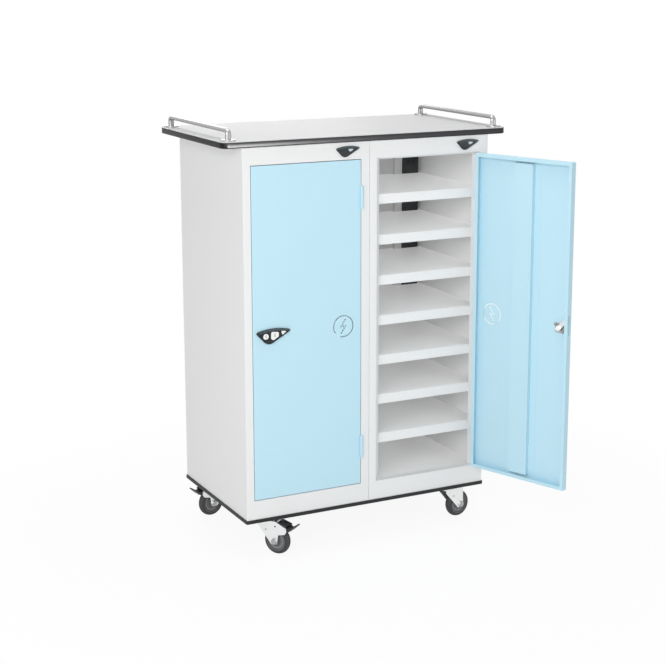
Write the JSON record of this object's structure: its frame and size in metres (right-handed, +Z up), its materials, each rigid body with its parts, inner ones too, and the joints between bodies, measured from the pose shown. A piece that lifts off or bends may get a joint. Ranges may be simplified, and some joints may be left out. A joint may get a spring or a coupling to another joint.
{
  "type": "laptop trolley",
  "caption": "Tall charging trolley: side-by-side lockers of shelved bays behind hinged, locking doors, under a worktop with end rails, on swivel castors.",
  "frame": {"origin": "on the floor, under the middle of the whole trolley with its right door open", "axes": "+X to the right seen from the front, +Y from the doors to the back, +Z up"},
  "size_m": [0.9046, 0.795, 1.205],
  "materials": {
    "cabinet_paint": "satin pale grey-white powder coat",
    "shelf_paint": "satin pale grey-white powder coat",
    "door_paint": "satin light blue powder coat",
    "zinc": "bright zinc plate",
    "lock_zinc": "nickel-plated die casting",
    "handle_satin": "satin pale grey tube",
    "black_plastic": "moulded black plastic",
    "escutcheon_plastic": "smooth blue-black plastic",
    "insert_plastic": "smooth white plastic",
    "lens_plastic": "smooth pale grey-blue plastic",
    "laminate": "pale grey laminated board",
    "edging_black": "black plastic edging",
    "base_black": "dark grey bumper strip",
    "base_board_black": "black-faced board",
    "wheel_grey": "grey moulded plastic",
    "tyre_grey": "dark grey rubber"
  },
  "bodies": {
    "cabinet": {"left_carcass": "cabinet_paint", "left_front_frame": "cabinet_paint", "left_shelves": "shelf_paint", "left_rear_wall": "shelf_paint", "left_socket_strip": "black_plastic", "right_carcass": "cabinet_paint", "right_front_frame": "cabinet_paint", "right_shelves": "shelf_paint", "right_rear_wall": "shelf_paint", "right_socket_strip": "black_plastic", "rear_access_panels": "cabinet_paint", "rear_panel_screws": "zinc", "fascia_badges": "escutcheon_plastic", "badge_lenses": "lens_plastic", "hinge_lower_halves": "door_paint", "mains_inlet": "black_plastic", "worktop_board": "laminate", "worktop_edging": "edging_black", "handle_flanges": "handle_satin", "left_handle": "handle_satin", "right_handle": "handle_satin", "bumper_strip": "base_black", "castor_plates": "zinc", "castor_bolts": "zinc", "base_board": "base_board_black"},
    "left_door": {"left_door_skin": "door_paint", "left_door_stiffener": "door_paint", "left_hinge_upper_halves": "door_paint", "left_lock_escutcheon": "escutcheon_plastic", "left_lock_inserts": "insert_plastic", "left_lock_housing": "lock_zinc"},
    "left_lock": {"left_lock_plug": "insert_plastic", "left_lock_cam": "zinc"},
    "right_door": {"right_door_skin": "door_paint", "right_door_stiffener": "door_paint", "right_hinge_upper_halves": "door_paint", "right_lock_escutcheon": "escutcheon_plastic", "right_lock_inserts": "insert_plastic", "right_lock_housing": "lock_zinc"},
    "right_lock": {"right_lock_plug": "insert_plastic", "right_lock_cam": "zinc"},
    "front_left_castor": {"front_left_fork": "zinc", "front_left_axle": "zinc"},
    "front_left_wheel": {"front_left_wheel_core": "wheel_grey", "front_left_tyre": "tyre_grey"},
    "front_left_brake": {"front_left_brake_lever": "black_plastic"},
    "front_right_castor": {"front_right_fork": "zinc", "front_right_axle": "zinc"},
    "front_right_wheel": {"front_right_wheel_core": "wheel_grey", "front_right_tyre": "tyre_grey"},
    "rear_left_castor": {"rear_left_fork": "zinc", "rear_left_axle": "zinc"},
    "rear_left_wheel": {"rear_left_wheel_core": "wheel_grey", "rear_left_tyre": "tyre_grey"},
    "rear_left_brake": {"rear_left_brake_lever": "black_plastic"},
    "rear_right_castor": {"rear_right_fork": "zinc", "rear_right_axle": "zinc"},
    "rear_right_wheel": {"rear_right_wheel_core": "wheel_grey", "rear_right_tyre": "tyre_grey"}
  },
  "joints": [
    {"name": "left_door_hinge", "type": "hinge", "parent": "cabinet", "child": "left_door", "pos_m": [-0.03981, -0.07937, 0.63875], "axis": [0, 0, 1], "range_deg": [0, 110]},
    {"name": "left_lock_turn", "type": "hinge", "parent": "left_door", "child": "left_lock", "pos_m": [-0.33381, -0.06557, 0.638], "axis": [0, 1, 0], "range_deg": [-45, 45]},
    {"name": "right_door_hinge", "type": "hinge", "parent": "cabinet", "child": "right_door", "pos_m": [0.3417, -0.07937, 0.63875], "axis": [0, 0, 1], "range_deg": [-110, 0]},
    {"name": "right_lock_turn", "type": "hinge", "parent": "right_door", "child": "right_lock", "pos_m": [0.42928, -0.36036, 0.638], "axis": [-0.9397, -0.342, 0], "range_deg": [-45, 45]},
    {"name": "front_left_swivel", "type": "hinge", "parent": "cabinet", "child": "front_left_castor", "pos_m": [-0.3103, -0.02697, 0.0985], "axis": [0, 0, 1], "continuous": true},
    {"name": "front_left_roll", "type": "hinge", "parent": "front_left_castor", "child": "front_left_wheel", "pos_m": [-0.29326, -0.05523, 0.04], "axis": [0.8563, 0.5165, 0], "continuous": true},
    {"name": "front_left_brake_press", "type": "hinge", "parent": "front_left_castor", "child": "front_left_brake", "pos_m": [-0.29171, -0.05779, 0.085], "axis": [0.8563, 0.5165, 0], "range_deg": [0, 12]},
    {"name": "front_right_swivel", "type": "hinge", "parent": "cabinet", "child": "front_right_castor", "pos_m": [0.28369, -0.02697, 0.0985], "axis": [0, 0, 1], "continuous": true},
    {"name": "front_right_roll", "type": "hinge", "parent": "front_right_castor", "child": "front_right_wheel", "pos_m": [0.31596, -0.02005, 0.04], "axis": [-0.2096, 0.9778, 0], "continuous": true},
    {"name": "rear_left_swivel", "type": "hinge", "parent": "cabinet", "child": "rear_left_castor", "pos_m": [-0.3103, 0.33103, 0.0985], "axis": [0, 0, 1], "continuous": true},
    {"name": "rear_left_roll", "type": "hinge", "parent": "rear_left_castor", "child": "rear_left_wheel", "pos_m": [-0.34242, 0.32344, 0.04], "axis": [0.23, -0.9732, 0], "continuous": true},
    {"name": "rear_left_brake_press", "type": "hinge", "parent": "rear_left_castor", "child": "rear_left_brake", "pos_m": [-0.34534, 0.32275, 0.085], "axis": [0.23, -0.9732, 0], "range_deg": [0, 12]},
    {"name": "rear_right_swivel", "type": "hinge", "parent": "cabinet", "child": "rear_right_castor", "pos_m": [0.28369, 0.33103, 0.0985], "axis": [0, 0, 1], "continuous": true},
    {"name": "rear_right_roll", "type": "hinge", "parent": "rear_right_castor", "child": "rear_right_wheel", "pos_m": [0.29919, 0.36017, 0.04], "axis": [-0.8829, 0.4695, 0], "continuous": true}
  ]
}
